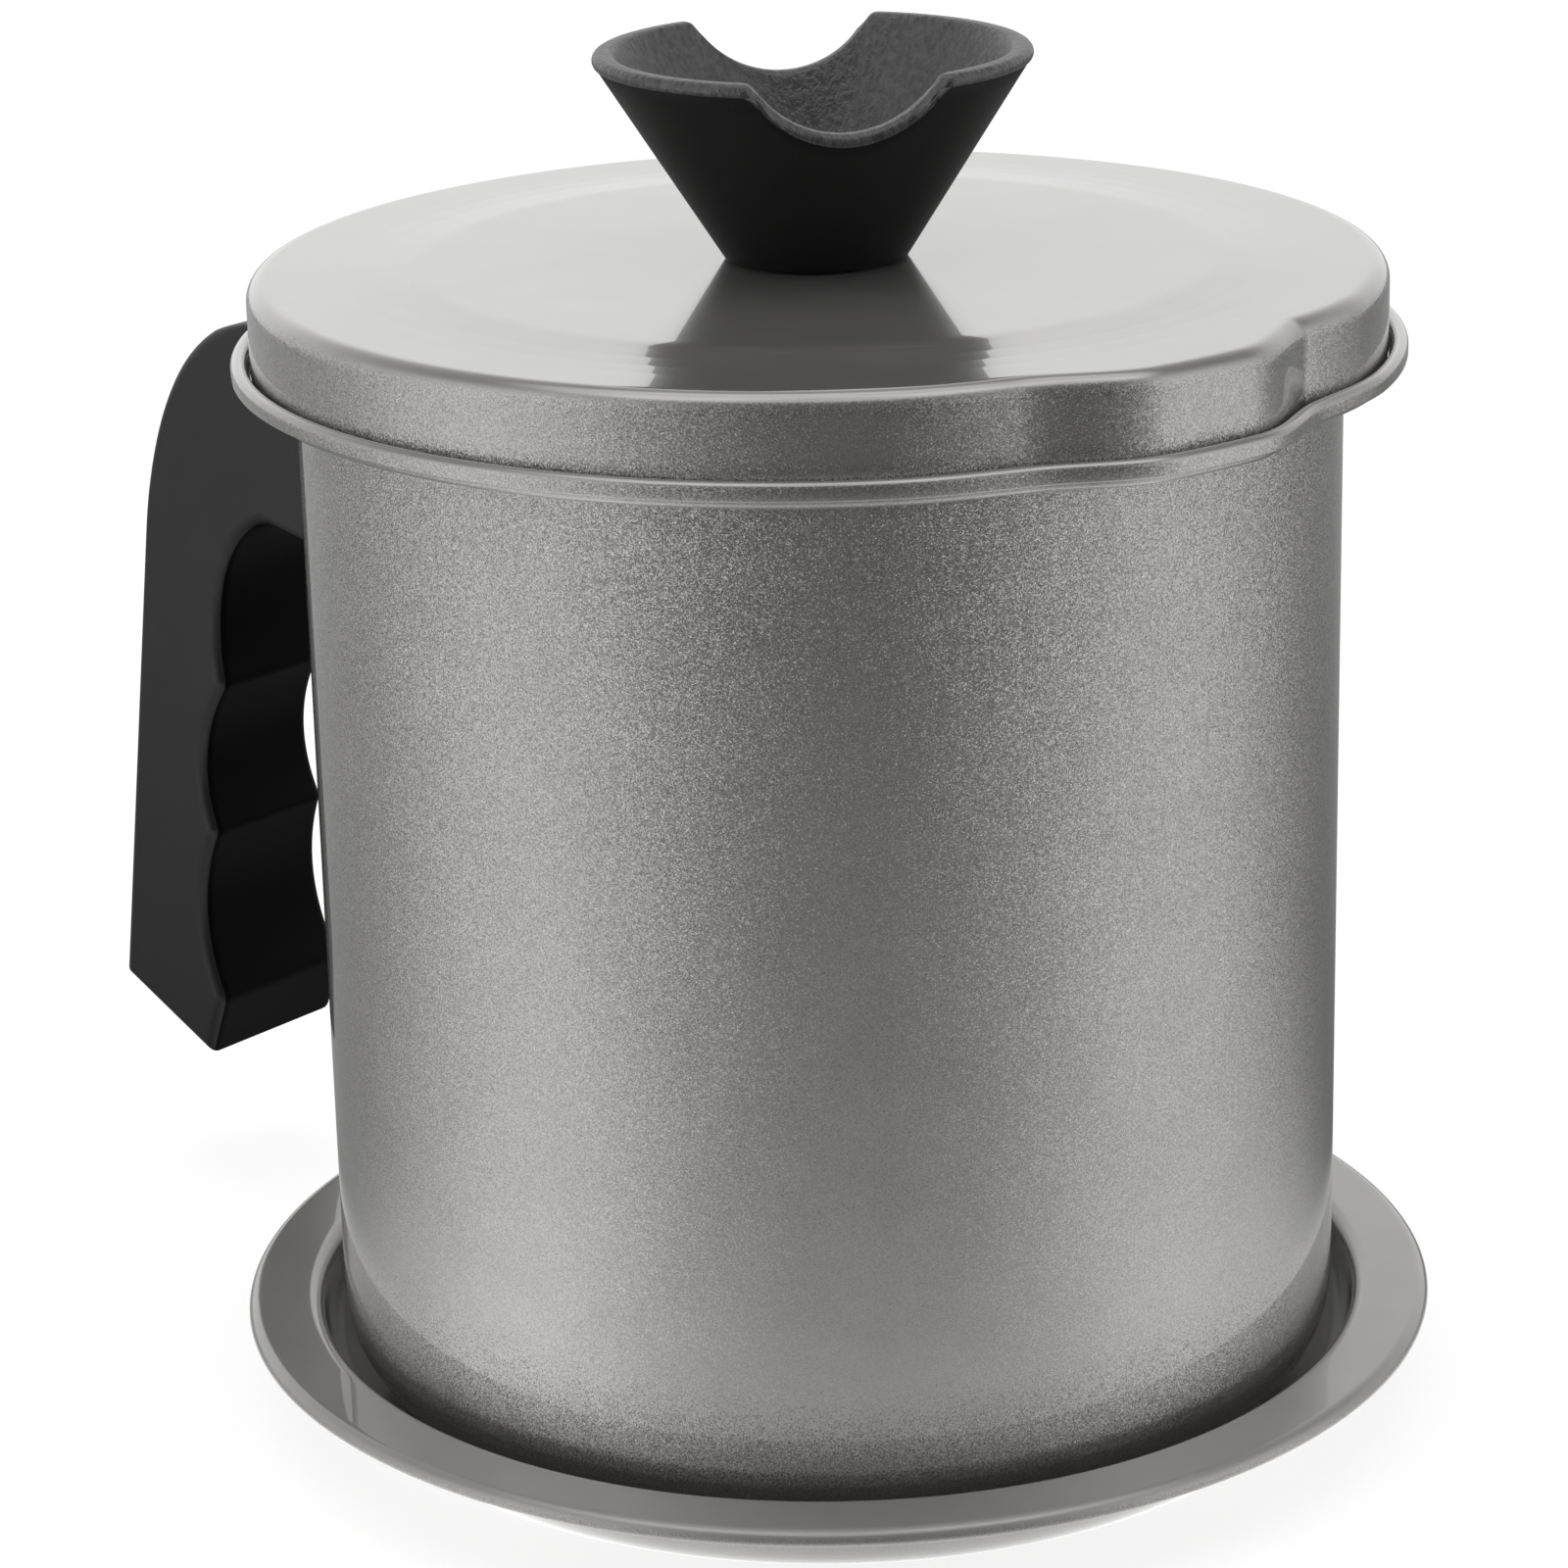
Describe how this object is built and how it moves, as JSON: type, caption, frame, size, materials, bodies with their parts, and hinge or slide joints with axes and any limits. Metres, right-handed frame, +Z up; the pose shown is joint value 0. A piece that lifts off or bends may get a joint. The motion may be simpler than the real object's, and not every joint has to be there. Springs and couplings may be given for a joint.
{
  "type": "bacon grease container",
  "caption": "Round metal grease pot with a pouring spout and a hook handle, a hanging strainer basket, a lid with a flared cup knob and a shallow drip tray.",
  "frame": {"origin": "centre of the drip tray's underside, on the surface that it stands on", "axes": "+Z up along the pot's axis, -X towards the handle, the spout 13 degrees clockwise of +X seen from above"},
  "size_m": [0.1942, 0.1494, 0.1675],
  "materials": {
    "flake_paint": "satin grey paint with fine metallic flake",
    "tray_paint": "smooth satin grey paint",
    "black_plastic": "satin black moulded plastic",
    "steel": "bright stainless steel",
    "brass": "turned brass"
  },
  "bodies": {
    "tray": {"drip_tray": "tray_paint"},
    "pot": {"pot_body": "flake_paint", "handle_bracket": "steel", "handle_grip": "black_plastic", "handle_screw": "steel", "handle_washer": "steel"},
    "strainer": {"strainer_cup": "steel", "strainer_mesh": "steel", "strainer_ring": "steel"},
    "lid": {"lid_shell": "flake_paint", "lid_knob": "black_plastic", "knob_insert": "brass", "knob_screw": "steel", "knob_washer": "steel"}
  },
  "joints": [
    {"name": "pot_lift", "type": "slide", "parent": "tray", "child": "pot", "axis": [0, 0, 1], "range_m": [0, 0.04]},
    {"name": "strainer_lift", "type": "slide", "parent": "pot", "child": "strainer", "axis": [0, 0, 1], "range_m": [0, 0.06]},
    {"name": "lid_lift", "type": "slide", "parent": "strainer", "child": "lid", "axis": [0, 0, 1], "range_m": [0, 0.05]}
  ]
}
